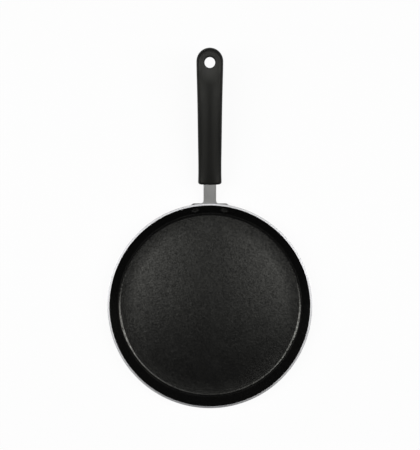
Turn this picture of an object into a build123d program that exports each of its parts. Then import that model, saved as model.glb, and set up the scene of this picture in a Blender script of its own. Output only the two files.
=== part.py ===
from build123d import *
import os
from math import asin, atan2, cos, degrees, radians, sin, tan

# A crepe pan: a shallow non-stick aluminium pan with one long riveted handle.
# The origin is the centre of the pan's underside, +Z is up and the handle points along +Y.
# Lengths are in millimetres and angles in degrees.

# Pan
rim_diameter = 254
pan_height = 20
base_thickness = 3
wall_angle = 58.5
lip_width = 2.4
lip_land = 0.8
lip_rounding = 0.4
lip_blend = 0.9
floor_margin = 11.3
floor_slope = 4
floor_blend = 180
floor_fillet = 4.8
base_corner_radius = 7
groove_shares = (0.24, 0.44, 0.64, 0.84)
groove_width = 2.4
groove_depth = 0.35

# Non-stick film
film = 0.25

# Rivets
rivet_margin = 6.5
rivet_height = 10.5
rivet_shank_radius = 2.4
rivet_head_radius = 5.4
rivet_head_height = 2.1
rivet_head_edge = 0.7
set_head_radius = 3.9
set_head_height = 1.5
set_head_edge = 0.6

# Bracket: flange on the wall, bare strap, and tang inside the grip
handle_angle = 14
flange_width = 49
flange_bevel_width = 4.1
flange_thickness = 2.1
flange_bevel_depth = 2.7
flange_root_depth = 5
flange_height = 14
flange_corner_radius = 3.5
flange_seat = 2.5
spot_face_gap = 0.3
strap_root_rise = 2.9
strap_width = 15.7
strap_thickness = 4.2
strap_edge_radius = 1.2
strap_gusset = 5.5
strap_exposed = 25.8
strap_insert = 9
tang_width = 12
tang_length = 96
web_width = 6
web_reach = 14
web_drop = 7

# Grip: its width, height and drop below the handle's axis at stations along it, and its tip's dip
grip_length = 165.6
front_width = 29.1
front_height = 13.6
front_edge_share = 0.455
front_collar = 3.6
waist_share = 0.18
waist_width = 28.6
waist_height = 15
waist_drop = 0.5
palm_share = 0.45
palm_width = 29.7
palm_height = 16.6
palm_drop = 0.9
palm_edge_share = 0.31
heel_share = 0.71
heel_width = 31
heel_height = 14.2
heel_drop = 0.4
shoulder_share = 0.83
shoulder_width = 31.9
shoulder_height = 12.4
shoulder_drop = 0.7
tip_width = 32.2
tip_height = 12.2
tip_drop = 1.4
tip_dip = 4
tip_edge_share = 0.455
front_corner_radius = 2.6
hang_hole_radius = 6.4
hang_hole_inset = 17.5
hang_hole_rounding = 1.2
sleeve_wall = 2.2

# Screw that holds the grip on the tang
screw_distance = 98
screw_head_radius = 3.7
screw_head_height = 2.4
screw_head_rounding = 0.9
screw_seat_depth = 5.2
screw_shank_radius = 2
screw_length = 9
screw_recess_width = 1.1
screw_recess_length = 4.2
screw_recess_depth = 1.4

# Fits
fit_gap = 0.05
slot_gap = 0.1
screw_hole_gap = 0.2
access_gap = 0.8
overrun = 2

# Places worked out from the sizes above
rim_radius = rim_diameter / 2
wall_rise = sin(radians(wall_angle))
wall_run = 1 / tan(radians(wall_angle))
inner_cone = rim_radius - lip_width
outer_cone = rim_radius + lip_land * wall_run
wall_thickness = (outer_cone - inner_cone) * wall_rise
strap_end = strap_exposed + strap_insert
tang_end = strap_exposed + tang_length
strap_root_height = rivet_height + strap_root_rise
cap_distance = strap_exposed + grip_length - tip_width / 2
tip_angle = handle_angle - tip_dip


def wall_radius(height, cone):
    """Radius at a height on a cone with the wall's slope, named by its radius at the rim's height."""
    return cone - (pan_height - height) * wall_run


outer_corner = wall_radius(0, outer_cone)
underside_radius = outer_corner - base_corner_radius * tan(radians(wall_angle / 2))
rivet_reach = wall_radius(rivet_height, inner_cone)
rivet_turn = degrees(asin((flange_width / 2 - rivet_margin) / rivet_reach))
root_reach = wall_radius(strap_root_height, outer_cone) + flange_thickness / wall_rise

along = Vector(0, cos(radians(handle_angle)), sin(radians(handle_angle)))
above = Vector(0, -sin(radians(handle_angle)), cos(radians(handle_angle)))
handle_root = Vector(0, root_reach, strap_root_height)
tip_along = Vector(0, cos(radians(tip_angle)), sin(radians(tip_angle)))
tip_above = Vector(0, -sin(radians(tip_angle)), cos(radians(tip_angle)))
cap_centre = handle_root + along * cap_distance - above * tip_drop
cap_plane = Plane(cap_centre, x_dir=(-1, 0, 0), z_dir=tip_along)
hole_centre = cap_centre + tip_along * (tip_width / 2 - hang_hole_inset)
hole_plane = Plane(hole_centre, x_dir=(1, 0, 0), z_dir=tip_above)


def inside_corners(cone, height):
    """Corners of the pan's inside from the rim to the centre, at a height of the floor's middle."""
    slope = tan(radians(floor_slope))
    floor_reach = wall_radius(base_thickness, inner_cone) - floor_margin
    foot = (wall_radius(height, cone) - floor_reach * slope * wall_run) / (1 - slope * wall_run)
    foot_height = height + (foot - floor_reach) * slope
    return (cone, pan_height), (foot, foot_height), (floor_reach, height), (0, height)


def rivet_seat(turn):
    """Plane on the inside of the wall at an angle from the handle, facing square into the pan."""
    side = Vector(0, 1, 0).rotate(Axis.Z, turn)
    facing = side * -wall_rise + Vector(0, 0, cos(radians(wall_angle)))
    return Plane(side * rivet_reach + Vector(0, 0, rivet_height), z_dir=facing)


def set_head_seat(seat):
    """Plane on the outside of the flange where a rivet's set head bears, facing away from the pan."""
    depth = wall_thickness + fit_gap + flange_seat
    return Plane(seat.origin - seat.z_dir * depth, x_dir=seat.x_dir, z_dir=-seat.z_dir)


def deck_plane(distance, lift=0):
    """Plane parallel to the handle's top at a distance from its root, with local Y towards the tip."""
    return Plane(handle_root + along * distance + above * lift, x_dir=(1, 0, 0), z_dir=above)


def station_plane(distance, lift=0):
    """Plane square to the handle at a distance from its root, with local Y up."""
    return Plane(handle_root + along * distance + above * lift, x_dir=(-1, 0, 0), z_dir=along)


rivet_seats = (rivet_seat(rivet_turn), rivet_seat(-rivet_turn))

# Pan as turned about its upright axis, before it is drilled
with BuildPart() as turned_pan:
    with BuildSketch(Plane.XZ):
        with BuildLine():
            outside = FilletPolyline(
                (0, 0),
                (outer_corner, 0),
                (rim_radius, pan_height - lip_land),
                (rim_radius, pan_height),
                (inner_cone, pan_height),
                radius=(base_corner_radius, lip_blend, lip_rounding),
            )
            inside = FilletPolyline(
                *inside_corners(inner_cone, base_thickness),
                radius=(floor_fillet, floor_blend),
            )
            Line(inside @ 1, outside @ 0)
        make_face()
    revolve(axis=Axis.Z)

    # Shallow turned grooves in the underside
    groove_radius = (groove_width**2 / 4 + groove_depth**2) / (2 * groove_depth)
    with BuildSketch(Plane.XZ):
        for share in groove_shares:
            with Locations((share * underside_radius, groove_depth - groove_radius)):
                Circle(groove_radius)
    revolve(axis=Axis.Z, mode=Mode.SUBTRACT)

# Pan body with its rivet holes through the wall
with BuildPart() as pan_body:
    add(turned_pan.part)
    for seat in rivet_seats:
        with BuildSketch(seat):
            Circle(rivet_shank_radius + fit_gap)
        extrude(amount=wall_thickness + overrun, both=True, mode=Mode.SUBTRACT)

# The wall's outer cone with its fit, which the flange is cut to
with BuildPart() as pan_envelope:
    envelope_cone = outer_cone + fit_gap / wall_rise
    with BuildSketch(Plane.XZ):
        with BuildLine():
            Polyline(
                (0, 0),
                (wall_radius(0, envelope_cone), 0),
                (envelope_cone, pan_height),
                (0, pan_height),
                close=True,
            )
        make_face()
    revolve(axis=Axis.Z)


def head_profile(radius, height, edge, foot=0):
    """Half of a round head with an upright edge and a domed top, its axis along local Y."""
    with BuildSketch() as profile:
        with BuildLine():
            Polyline((0, height), (0, -foot), (radius, -foot), (radius, edge))
            TangentArc((0, height), (radius, edge), tangent=(1, 0))
        make_face()
    return profile.sketch


def profile_plane(seat):
    """Plane through a seat's own axis, with local Y along that axis."""
    return Plane(seat.origin, x_dir=seat.x_dir, z_dir=-seat.y_dir)


def rivet(seat):
    """Rivet with its domed head shaped to the inside of the wall and its set head on the flange."""
    set_seat = set_head_seat(seat)
    with BuildPart() as shape:
        with BuildSketch(profile_plane(seat)):
            add(head_profile(rivet_head_radius, rivet_head_height, rivet_head_edge, wall_thickness / 2))
        revolve(axis=Axis(seat.origin, seat.z_dir))
        add(turned_pan.part, mode=Mode.SUBTRACT)
        with BuildSketch(Plane(set_seat.origin, x_dir=seat.x_dir, z_dir=seat.z_dir)):
            Circle(rivet_shank_radius)
        extrude(amount=wall_thickness + fit_gap + flange_seat + rivet_head_edge)
        with BuildSketch(profile_plane(set_seat)):
            add(head_profile(set_head_radius, set_head_height, set_head_edge))
        revolve(axis=Axis(set_seat.origin, set_seat.z_dir))
    return shape


rivet_left = rivet(rivet_seats[0])
rivet_right = rivet(rivet_seats[1])

# Film over the floor, the wall and the rivet heads
with BuildPart() as nonstick_coating:
    film_cone = inner_cone - film / wall_rise
    with BuildSketch(Plane.XZ):
        with BuildLine():
            bare = FilletPolyline(
                *inside_corners(inner_cone, base_thickness),
                radius=(floor_fillet, floor_blend),
            )
            face = FilletPolyline(
                *inside_corners(film_cone, base_thickness + film),
                radius=(floor_fillet - film, floor_blend - film),
            )
            Line(bare @ 0, face @ 0)
            Line(bare @ 1, face @ 1)
        make_face()
    revolve(axis=Axis.Z)
    for seat in rivet_seats:
        with BuildSketch(profile_plane(seat)):
            add(
                head_profile(
                    rivet_head_radius + film,
                    rivet_head_height + film,
                    rivet_head_edge + film,
                    wall_thickness / 2,
                )
            )
        revolve(axis=Axis(seat.origin, seat.z_dir))
    add(turned_pan.part, mode=Mode.SUBTRACT)
    add(rivet_left.part, mode=Mode.SUBTRACT)
    add(rivet_right.part, mode=Mode.SUBTRACT)


def strap_outline(gap):
    """Strap and tang from above, grown by a gap all round."""
    half_root = strap_width / 2 + strap_gusset + gap
    half_strap = strap_width / 2 + gap
    half_tang = tang_width / 2 + gap
    with BuildSketch() as outline:
        with BuildLine():
            Polyline((0, -flange_thickness / 2), (half_root, -flange_thickness / 2), (half_root, 0))
            TangentArc((half_root, 0), (half_strap, strap_gusset), tangent=(-1, 0))
            Polyline(
                (half_strap, strap_gusset),
                (half_strap, strap_end + gap),
                (half_tang, strap_end + gap),
                (half_tang, tang_end + gap),
                (0, tang_end + gap),
            )
            mirror(about=Plane.YZ)
        make_face()
    return outline.sketch


# Bracket: flange, strap, web under the strap, and tang
with BuildPart() as handle_bracket:
    half_flange = flange_width / 2
    half_face = half_flange - flange_bevel_width
    bevel_foot = flange_thickness - flange_bevel_depth
    wall_up = Vector(0, cos(radians(wall_angle)), wall_rise)
    wall_out = Vector(0, wall_rise, -cos(radians(wall_angle)))
    flange_centre = Vector(0, wall_radius(rivet_height, outer_cone), rivet_height)
    with BuildSketch(Plane(flange_centre, x_dir=(1, 0, 0), z_dir=wall_up)):
        with BuildLine():
            Polyline(
                (-half_flange, -flange_root_depth),
                (half_flange, -flange_root_depth),
                (half_flange, bevel_foot),
                (half_face, flange_thickness),
                (-half_face, flange_thickness),
                (-half_flange, bevel_foot),
                close=True,
            )
        make_face()
    extrude(amount=flange_height / 2, both=True)
    with BuildSketch(Plane(flange_centre, x_dir=(-1, 0, 0), z_dir=wall_out)):
        RectangleRounded(flange_width, flange_height, flange_corner_radius)
    extrude(amount=flange_root_depth, both=True, mode=Mode.INTERSECT)

    with BuildSketch(deck_plane(0)):
        add(strap_outline(0))
    extrude(amount=strap_thickness / 2, both=True)
    lengthwise = handle_bracket.edges().filter_by(Axis(handle_root, along))
    fillet(lengthwise.group_by(Axis.X)[0] + lengthwise.group_by(Axis.X)[-1], strap_edge_radius)

    with BuildSketch(Plane.YZ):
        with BuildLine():
            web_tip = handle_root + along * web_reach
            web_foot = root_reach - web_drop * wall_run
            Polyline(
                (root_reach - flange_thickness / 2, strap_root_height),
                (web_tip.Y, web_tip.Z),
                (web_foot, strap_root_height - web_drop),
                (web_foot - flange_thickness / 2, strap_root_height - web_drop),
                close=True,
            )
        make_face()
    extrude(amount=web_width / 2, both=True)

    add(pan_envelope.part, mode=Mode.SUBTRACT)
    for seat in rivet_seats:
        with BuildSketch(seat):
            Circle(rivet_shank_radius + fit_gap)
        extrude(amount=-flange_root_depth - flange_thickness - wall_thickness, mode=Mode.SUBTRACT)
        with BuildSketch(set_head_seat(seat)):
            Circle(set_head_radius + spot_face_gap)
        extrude(amount=flange_bevel_depth + overrun, mode=Mode.SUBTRACT)
    with BuildSketch(deck_plane(screw_distance)):
        Circle(screw_shank_radius + screw_hole_gap)
    extrude(amount=strap_thickness, both=True, mode=Mode.SUBTRACT)


def grip_section(width, height, edge_share, inset):
    """Oval of four tangent arcs, crowned above and below and round at the sides, less an inset."""
    edge_radius = height * edge_share - inset
    reach = width / 2 - inset - edge_radius
    half_height = height / 2 - inset
    crown = (reach**2 + half_height**2 - edge_radius**2) / (2 * (half_height - edge_radius))
    turn = atan2(crown - half_height, reach)
    join_x = reach + edge_radius * cos(turn)
    join_y = edge_radius * sin(turn)
    with BuildSketch() as outline:
        with BuildLine():
            ThreePointArc((-join_x, join_y), (0, half_height), (join_x, join_y))
            ThreePointArc((join_x, join_y), (reach + edge_radius, 0), (join_x, -join_y))
            ThreePointArc((join_x, -join_y), (0, -half_height), (-join_x, -join_y))
            ThreePointArc((-join_x, -join_y), (-reach - edge_radius, 0), (-join_x, join_y))
        make_face()
    return outline.sketch


def grip_form(inset):
    """The grip's shape, drawn in by an inset all round, with a round hole through its tip."""
    heel_edge_share = (palm_edge_share + tip_edge_share) / 2
    stations = (
        (waist_share, waist_width, waist_height, waist_drop, palm_edge_share),
        (palm_share, palm_width, palm_height, palm_drop, palm_edge_share),
        (heel_share, heel_width, heel_height, heel_drop, heel_edge_share),
        (shoulder_share, shoulder_width, shoulder_height, shoulder_drop, tip_edge_share),
    )
    with BuildPart() as form:
        with BuildSketch(station_plane(strap_exposed + front_collar)):
            add(grip_section(front_width, front_height, front_edge_share, inset))
        extrude(amount=inset - front_collar)
        with BuildSketch(station_plane(strap_exposed + front_collar)):
            add(grip_section(front_width, front_height, front_edge_share, inset))
        for share, width, height, drop, edge_share in stations:
            with BuildSketch(station_plane(strap_exposed + share * grip_length, -drop)):
                add(grip_section(width, height, edge_share, inset))
        with BuildSketch(cap_plane):
            add(grip_section(tip_width, tip_height, tip_edge_share, inset))
        loft()
        with BuildSketch(cap_plane):
            add(grip_section(tip_width, tip_height, tip_edge_share, inset))
            split(bisect_by=Plane.YZ, keep=Keep.BOTTOM)
        revolve(axis=Axis(cap_centre, tip_above), revolution_arc=180)
        with BuildSketch(hole_plane):
            Circle(hang_hole_radius + inset)
        extrude(amount=tip_height, both=True, mode=Mode.SUBTRACT)
    return form.part


grip_outside = grip_form(0)
sleeve_inside = grip_form(sleeve_wall)
core_outside = grip_form(sleeve_wall + fit_gap)

# Soft sleeve: the outside of the grip
with BuildPart() as grip_sleeve:
    add(grip_outside)
    grip_axis = Axis(handle_root, along)
    fillet(grip_sleeve.edges().group_by(grip_axis)[0], front_corner_radius)
    hole_wall = grip_sleeve.faces().filter_by(GeomType.CYLINDER).group_by(grip_axis)[-1]
    fillet(hole_wall.edges().filter_by(GeomType.LINE, reverse=True), hang_hole_rounding)
    add(sleeve_inside, mode=Mode.SUBTRACT)
    with BuildSketch(deck_plane(0)):
        add(strap_outline(slot_gap))
    extrude(amount=strap_thickness / 2 + slot_gap, both=True, mode=Mode.SUBTRACT)
    with BuildSketch(deck_plane(screw_distance)):
        Circle(screw_head_radius + access_gap)
    extrude(amount=-palm_height, mode=Mode.SUBTRACT)

# Rigid core between the sleeve and the tang
with BuildPart() as grip_core:
    add(core_outside)
    with BuildSketch(deck_plane(0)):
        add(strap_outline(slot_gap))
    extrude(amount=strap_thickness / 2 + slot_gap, both=True, mode=Mode.SUBTRACT)
    with BuildSketch(deck_plane(screw_distance, -screw_seat_depth)):
        Circle(screw_head_radius + screw_hole_gap)
    extrude(amount=-palm_height, mode=Mode.SUBTRACT)
    with BuildSketch(deck_plane(screw_distance, -screw_seat_depth)):
        Circle(screw_shank_radius + fit_gap)
    extrude(amount=screw_length + screw_hole_gap, mode=Mode.SUBTRACT)

# Pan-head screw with a cross recess, driven up from the underside
with BuildPart() as grip_screw:
    with BuildSketch(deck_plane(screw_distance, -screw_seat_depth)):
        Circle(screw_head_radius)
    extrude(amount=-screw_head_height)
    fillet(grip_screw.edges().group_by(Axis(handle_root, above))[0], screw_head_rounding)
    with BuildSketch(deck_plane(screw_distance, -screw_seat_depth)):
        Circle(screw_shank_radius)
    extrude(amount=screw_length)
    with BuildSketch(deck_plane(screw_distance, -screw_seat_depth - screw_head_height)):
        Rectangle(screw_recess_length, screw_recess_width)
        Rectangle(screw_recess_width, screw_recess_length)
    extrude(amount=screw_recess_depth, mode=Mode.SUBTRACT)

os.makedirs("parts", exist_ok=True)

pan_body.part.label = "pan_body"
export_step(pan_body.part, "parts/pan_body.step")

nonstick_coating.part.label = "nonstick_coating"
export_step(nonstick_coating.part, "parts/nonstick_coating.step")

rivet_left.part.label = "rivet_left"
export_step(rivet_left.part, "parts/rivet_left.step")

rivet_right.part.label = "rivet_right"
export_step(rivet_right.part, "parts/rivet_right.step")

handle_bracket.part.label = "handle_bracket"
export_step(handle_bracket.part, "parts/handle_bracket.step")

grip_sleeve.part.label = "grip_sleeve"
export_step(grip_sleeve.part, "parts/grip_sleeve.step")

grip_core.part.label = "grip_core"
export_step(grip_core.part, "parts/grip_core.step")

grip_screw.part.label = "grip_screw"
export_step(grip_screw.part, "parts/grip_screw.step")
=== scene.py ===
import bpy
from math import cos, pi, sin
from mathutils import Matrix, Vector


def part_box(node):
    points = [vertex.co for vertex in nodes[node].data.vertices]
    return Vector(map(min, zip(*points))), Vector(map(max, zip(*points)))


# A crepe pan seen from straight above, its handle pointing up the picture.
# Lengths are in metres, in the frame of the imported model: the pan's underside is at z = 0 and the
# handle points along +Y. A glow is a brightness as seen, where 1 is white.

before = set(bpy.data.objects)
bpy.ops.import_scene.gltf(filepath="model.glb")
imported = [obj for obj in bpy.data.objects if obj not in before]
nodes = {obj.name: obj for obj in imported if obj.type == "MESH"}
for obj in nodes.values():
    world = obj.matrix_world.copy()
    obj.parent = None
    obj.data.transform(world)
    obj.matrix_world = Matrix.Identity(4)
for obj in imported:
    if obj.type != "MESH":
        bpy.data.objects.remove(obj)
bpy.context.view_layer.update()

# Sizes read from the frame
hole_from_tip = 0.0173
hole_below_top = 0.0076
pan_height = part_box("pan_body")[1].z
grip_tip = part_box("grip_sleeve")[1]
hang_hole = (0, grip_tip.y - hole_from_tip, grip_tip.z - hole_below_top)

# Camera
camera_place = (0.0002, 0.1002, 1.056)
camera_lens = 66.85
camera_sensor = 36.0

# Floor: a share of its look is plain white, more of it far from the object
floor_radius = 4.0
floor_sides = 96
floor_colour = (0.95, 0.95, 0.95)
floor_glow_shares = (0.92, 1.0)
floor_fade = (0.5, 1.6)

# Lights: a soft box on each side, and two panels overhead with a gap between them
soft_box_reach = 0.946
soft_box_height = 1.292
soft_box_forward = 0.084
soft_box_size = (0.54, 1.263)
soft_box_glow = 4.92
soft_box_aim = (0, 0.05, 0)
ceiling_height = 1.738
ceiling_size = (1.1215, 1.0547)
ceiling_gap = 0.23
ceiling_near_edge = -0.158
ceiling_glow = 1.4

# World: white at the horizon, dark above it. The band is in heights on a sphere of radius 1.
horizon_glow = 1.0
sky_glow = 0.01
horizon_band = (0.05, 0.15)

# Relief and clouds in all materials
soft_detail = 2.0
fine_detail = 3.0

# Coating: black film with an orange-peel surface and a fine speckle in its sheen
coating_colour = (0.004, 0.004, 0.004)
coating_roughness = 0.205
coating_roughness_change = 0.03
coating_cloud_size = 0.02
black_tint = (1.0, 1.0, 0.93)
peel_size = 0.0022
peel_depth = 0.00008
grain_size = 0.0005
grain_depth = 0.00001
speckle_size = 0.0012
speckle_sheen = 0.52

# Aluminium: machined lip, spun wall and turned underside
lip_depth = 0.00095
lip_colour = (0.51, 0.51, 0.52)
lip_roughness = 0.36
wall_colour = (0.58, 0.58, 0.59)
wall_roughness = 0.34
pan_cloud_size = 0.02
turned_line = 0.0003
turned_depth = 0.000012

# Bare metal: how its roughness varies, and how many grains wide its clouds are
metal_roughness_change = 0.06
metal_cloud_grains = 12

# Blasted bracket
bracket_colour = (0.50, 0.50, 0.49)
bracket_roughness = 0.40
blast_size = 0.0006
blast_depth = 0.00002

# Pressed rivets
rivet_colour = (0.66, 0.66, 0.67)
rivet_roughness = 0.30
rivet_grain_size = 0.0008
rivet_grain_depth = 0.00001

# Plated screw
screw_colour = (0.62, 0.62, 0.63)
screw_roughness = 0.28
screw_grain_size = 0.0005
screw_grain_depth = 0.000006

# Moulded parts: how many grains wide their clouds are
skin_cloud_grains = 20

# Soft-touch grip, with a painted highlight as a paler patch about the hang hole, and painted shade
# as a dark ring next to the hole
grip_colour = (0.006, 0.006, 0.0056)
grip_painted_highlight_colour = (0.034, 0.034, 0.032)
grip_roughness = 0.42
grip_roughness_change = 0.08
grip_shine = 0.17
painted_shade_ring = (0.0068, 0.0085)
painted_highlight_patch = (0.009, 0.023)
painted_highlight_shift = 0.004
painted_highlight_narrow = 1.6
skin_size = 0.00045
skin_depth = 0.000014

# Nylon core
core_colour = (0.02, 0.02, 0.02)
core_roughness = 0.5
core_roughness_change = 0.05
core_skin_size = 0.001
core_skin_depth = 0.00001

# Sockets of a colour mix, which share their names with those for other kinds of value
MIX_SHARE = 0
MIX_LOW = 6
MIX_HIGH = 7
MIX_RESULT = 2


def opaque(colour):
    """A colour with full alpha, as a colour socket takes it."""
    return (*colour, 1)


def fill(tree, node, inputs):
    """Sets a node's inputs, by name or number, to numbers, colours or other nodes' outputs."""
    for key, value in inputs.items():
        if isinstance(value, bpy.types.NodeSocket):
            tree.links.new(value, node.inputs[key])
        else:
            node.inputs[key].default_value = value


def add_node(tree, kind, inputs=None, **settings):
    """A new node with its settings and its inputs."""
    node = tree.nodes.new(kind)
    for key, value in settings.items():
        setattr(node, key, value)
    fill(tree, node, inputs or {})
    return node


def add_math(tree, operation, first, second):
    """The result of one operation on two values, each a number or another node's output."""
    inputs = {0: first, 1: second}
    return add_node(tree, "ShaderNodeMath", inputs, operation=operation).outputs[0]


def add_vector_math(tree, operation, first, second):
    """The result of one operation on two vectors."""
    inputs = {0: first, 1: second}
    return add_node(tree, "ShaderNodeVectorMath", inputs, operation=operation).outputs["Vector"]


def add_length(tree, vector):
    """The length of a vector."""
    node = add_node(tree, "ShaderNodeVectorMath", {0: vector}, operation="LENGTH")
    return node.outputs["Value"]


def add_place(tree):
    """Place on the object, in metres."""
    return add_node(tree, "ShaderNodeTexCoord").outputs["Object"]


def add_noise(tree, place, size, detail=soft_detail):
    """Soft noise from 0 to 1 whose spots are about as large as size."""
    inputs = {"Scale": 1 / size, "Detail": detail, "Vector": place}
    return add_node(tree, "ShaderNodeTexNoise", inputs).outputs["Fac"]


def add_ramp(tree, value, low=0.0, high=1.0, ends=(0.0, 1.0)):
    """A number that goes from low to high as value goes from one end to the other."""
    inputs = {
        "Value": value,
        "From Min": ends[0],
        "From Max": ends[1],
        "To Min": low,
        "To Max": high,
    }
    return add_node(tree, "ShaderNodeMapRange", inputs).outputs["Result"]


def add_spread(tree, share, middle, change):
    """A number up to a change below or above a middle one, as share goes from 0 to 1."""
    return add_ramp(tree, share, middle - change, middle + change)


def add_colour_blend(tree, share, low, high):
    """A colour that goes from low to high as share goes from 0 to 1."""
    inputs = {MIX_SHARE: share, MIX_LOW: opaque(low), MIX_HIGH: opaque(high)}
    return add_node(tree, "ShaderNodeMix", inputs, data_type="RGBA").outputs[MIX_RESULT]


def add_bump(tree, height, depth, base=None):
    """A surface raised by a height from 0 to 1 times a depth, on top of another bump."""
    inputs = {"Strength": 1.0, "Distance": depth, "Height": height}
    if base is not None:
        inputs["Normal"] = base
    return add_node(tree, "ShaderNodeBump", inputs).outputs["Normal"]


def add_ray_switch(tree, *kinds):
    """1 for rays of the kinds that are named, and 0 for all others."""
    rays = add_node(tree, "ShaderNodeLightPath")
    switch = rays.outputs[kinds[0]]
    for kind in kinds[1:]:
        switch = add_math(tree, "MAXIMUM", switch, rays.outputs[kind])
    return switch


def make_material(name):
    """A new material, with its node tree and its principled shader."""
    material = bpy.data.materials.new(name)
    material.use_nodes = True
    tree = material.node_tree
    return material, tree, tree.nodes["Principled BSDF"]


def dress(node_name, material):
    """Gives a CAD node its material."""
    slots = nodes[node_name].data.materials
    slots.clear()
    slots.append(material)


def coating_material():
    """Black film with a clouded gloss, an orange-peel surface and a speckle in its sheen."""
    material, tree, shader = make_material("coating_black")
    place = add_place(tree)
    peel = add_noise(tree, place, peel_size)
    grain = add_noise(tree, place, grain_size)
    cells = add_node(tree, "ShaderNodeTexVoronoi", {"Scale": 1 / speckle_size, "Vector": place})
    chances = add_node(tree, "ShaderNodeSeparateColor", {0: cells.outputs["Color"]})
    dull, bright = (
        [part * (1 + side * speckle_sheen) for part in black_tint] for side in (-1, 1)
    )
    cloud = add_noise(tree, place, coating_cloud_size)
    shader.inputs["Specular Tint"].default_value = opaque(black_tint)
    fill(tree, shader, {
        "Base Color": opaque(coating_colour),
        "Specular Tint": add_colour_blend(tree, chances.outputs["Green"], dull, bright),
        "Roughness": add_spread(tree, cloud, coating_roughness, coating_roughness_change),
        "Normal": add_bump(tree, grain, grain_depth, add_bump(tree, peel, peel_depth)),
    })
    return material


def add_turned_lines(tree, place):
    """Uneven fine rings about the pan's axis, as a lathe tool leaves them, from 0 to 1."""
    radius = add_length(tree, add_vector_math(tree, "MULTIPLY", place, (1, 1, 0)))
    inputs = {"Scale": 1 / turned_line, "W": radius}
    lines = add_node(tree, "ShaderNodeTexNoise", inputs, noise_dimensions="1D")
    return lines.outputs["Fac"]


def pan_material():
    """Aluminium with turned lines, machined along the lip and satin below it."""
    material, tree, shader = make_material("aluminium_turned")
    place = add_place(tree)
    parts = add_node(tree, "ShaderNodeSeparateXYZ", {0: place})
    lip = add_math(tree, "GREATER_THAN", parts.outputs["Z"], pan_height - lip_depth)
    lines = add_turned_lines(tree, place)
    cloud = add_noise(tree, place, pan_cloud_size, fine_detail)
    uneven = add_spread(tree, cloud, 0.0, metal_roughness_change)
    rough = add_math(tree, "ADD", uneven, add_ramp(tree, lip, wall_roughness, lip_roughness))
    fill(tree, shader, {
        "Base Color": add_colour_blend(tree, lip, wall_colour, lip_colour),
        "Metallic": 1.0,
        "Roughness": rough,
        "Normal": add_bump(tree, lines, turned_depth),
    })
    return material


def metal_material(name, colour, roughness, size, depth):
    """Bare metal with a fine uneven surface."""
    material, tree, shader = make_material(name)
    place = add_place(tree)
    grain = add_noise(tree, place, size, fine_detail)
    cloud = add_noise(tree, place, size * metal_cloud_grains)
    fill(tree, shader, {
        "Base Color": opaque(colour),
        "Metallic": 1.0,
        "Roughness": add_spread(tree, cloud, roughness, metal_roughness_change),
        "Normal": add_bump(tree, grain, depth),
    })
    return material


def add_reach(tree, place, centre, squeeze, ends):
    """A share from 0 to 1 between two distances from a point, measured with some axes stretched."""
    gap = add_vector_math(tree, "SUBTRACT", place, centre)
    distance = add_length(tree, add_vector_math(tree, "MULTIPLY", gap, squeeze))
    return add_ramp(tree, distance, ends=ends)


def add_skin(tree, shader, place, roughness, roughness_change, size, depth):
    """The fine uneven skin of a moulded part."""
    cloud = add_noise(tree, place, size * skin_cloud_grains)
    grain = add_noise(tree, place, size, fine_detail)
    fill(tree, shader, {
        "Roughness": add_spread(tree, cloud, roughness, roughness_change),
        "Normal": add_bump(tree, grain, depth),
    })


def grip_material():
    """Soft-touch rubber, with a painted highlight as a paler patch about the hang hole and painted
    shade in a dark ring next to the hole.
    """
    material, tree, shader = make_material("rubber_soft_touch")
    place = add_place(tree)
    add_skin(tree, shader, place, grip_roughness, grip_roughness_change, skin_size, skin_depth)
    # Painted highlight: a paler colour in a patch about the hang hole. The grip's own colour is
    # left in a ring next to the hole as painted shade.
    patch_centre = (0, hang_hole[1] - painted_highlight_shift, hang_hole[2])
    outside = add_reach(tree, place, patch_centre, (painted_highlight_narrow, 1, 1), painted_highlight_patch)
    ring = add_reach(tree, place, hang_hole, (1, 1, 0), painted_shade_ring)
    painted_light = add_math(tree, "MULTIPLY", add_math(tree, "SUBTRACT", 1.0, outside), ring)
    fill(tree, shader, {
        "Base Color": add_colour_blend(tree, painted_light, grip_colour, grip_painted_highlight_colour),
        "Specular IOR Level": grip_shine,
        "Specular Tint": opaque(black_tint),
    })
    return material


def core_material():
    """Plain moulded nylon, hidden inside the grip."""
    material, tree, shader = make_material("nylon_black")
    fill(tree, shader, {"Base Color": opaque(core_colour)})
    change, size, depth = core_roughness_change, core_skin_size, core_skin_depth
    add_skin(tree, shader, add_place(tree), core_roughness, change, size, depth)
    return material


def add_floor():
    """A round floor, white to the camera and to metal, that keeps the object's soft shadow."""
    mesh = bpy.data.meshes.new("floor")
    turns = [2 * pi * i / floor_sides for i in range(floor_sides)]
    edge = [(floor_radius * cos(turn), floor_radius * sin(turn), 0) for turn in turns]
    mesh.from_pydata(edge, [], [range(floor_sides)])
    floor = bpy.data.objects.new("floor", mesh)
    bpy.context.scene.collection.objects.link(floor)
    material, tree, shader = make_material("floor_white")
    tree.nodes.remove(shader)
    matte = add_node(tree, "ShaderNodeBsdfDiffuse", {"Color": opaque(floor_colour)})
    glow = add_node(tree, "ShaderNodeEmission", {"Color": (1, 1, 1, 1), "Strength": 1.0})
    seen = add_ray_switch(tree, "Is Camera Ray", "Is Glossy Ray", "Is Transmission Ray")
    share = add_ramp(tree, add_length(tree, add_place(tree)), *floor_glow_shares, floor_fade)
    white = add_math(tree, "MULTIPLY", seen, share)
    inputs = {0: white, 1: matte.outputs[0], 2: glow.outputs[0]}
    mix = add_node(tree, "ShaderNodeMixShader", inputs)
    fill(tree, tree.nodes["Material Output"], {"Surface": mix.outputs[0]})
    mesh.materials.append(material)


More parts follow.
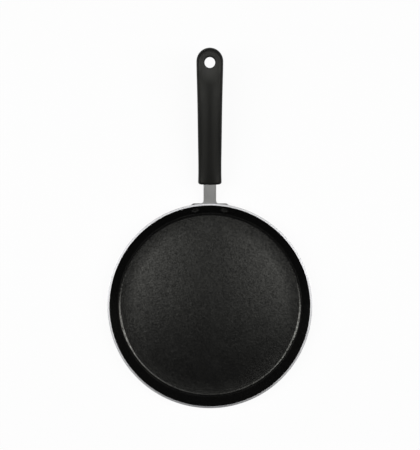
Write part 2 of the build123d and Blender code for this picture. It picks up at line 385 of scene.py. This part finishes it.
def add_world():
    """Light from a white horizon, with little from above. The camera sees white all over."""
    world = bpy.data.worlds.new("studio")
    world.use_nodes = True
    bpy.context.scene.world = world
    tree = world.node_tree
    place = add_node(tree, "ShaderNodeTexCoord")
    parts = add_node(tree, "ShaderNodeSeparateXYZ", {0: place.outputs["Generated"]})
    band = add_ramp(tree, parts.outputs["Z"], horizon_glow, sky_glow, horizon_band)
    seen = add_ray_switch(tree, "Is Camera Ray", "Is Transmission Ray")
    white = add_math(tree, "MAXIMUM", seen, band)
    fill(tree, tree.nodes["Background"], {"Color": white, "Strength": 1.0})


def add_lamp(name, place, target, size, glow):
    """A rectangular soft light aimed at a point."""
    lamp = bpy.data.lights.new(name, "AREA")
    lamp.shape = "RECTANGLE"
    lamp.size, lamp.size_y = size
    lamp.energy = glow * pi * size[0] * size[1]
    thing = bpy.data.objects.new(name, lamp)
    bpy.context.scene.collection.objects.link(thing)
    thing.location = place
    thing.rotation_euler = (Vector(target) - Vector(place)).to_track_quat("-Z", "Y").to_euler()


def add_lights():
    """The soft boxes, aimed at the pan, and the panels overhead, aimed straight down."""
    ceiling_reach = (ceiling_gap + ceiling_size[0]) / 2
    ceiling_forward = ceiling_near_edge + ceiling_size[1] / 2
    for side, name in ((-1, "left"), (1, "right")):
        place = (side * soft_box_reach, soft_box_forward, soft_box_height)
        add_lamp(f"soft_box_{name}", place, soft_box_aim, soft_box_size, soft_box_glow)
        place = (side * ceiling_reach, ceiling_forward, ceiling_height)
        add_lamp(f"ceiling_{name}", place, (*place[:2], 0), ceiling_size, ceiling_glow)


def add_camera():
    """The camera, straight above and looking down, as it stands without being turned."""
    data = bpy.data.cameras.new("camera")
    data.lens = camera_lens
    data.sensor_width = camera_sensor
    camera = bpy.data.objects.new("camera", data)
    bpy.context.scene.collection.objects.link(camera)
    camera.location = camera_place
    bpy.context.scene.camera = camera


bpy.context.scene.view_settings.view_transform = "Standard"
add_camera()
add_world()
add_lights()
add_floor()

rivet_metal = metal_material(
    "aluminium_pressed", rivet_colour, rivet_roughness, rivet_grain_size, rivet_grain_depth
)
dress("pan_body", pan_material())
dress("nonstick_coating", coating_material())
dress("rivet_left", rivet_metal)
dress("rivet_right", rivet_metal)
dress(
    "handle_bracket",
    metal_material("steel_blasted", bracket_colour, bracket_roughness, blast_size, blast_depth),
)
dress("grip_sleeve", grip_material())
dress("grip_core", core_material())
dress(
    "grip_screw",
    metal_material(
        "steel_zinc", screw_colour, screw_roughness, screw_grain_size, screw_grain_depth
    ),
)
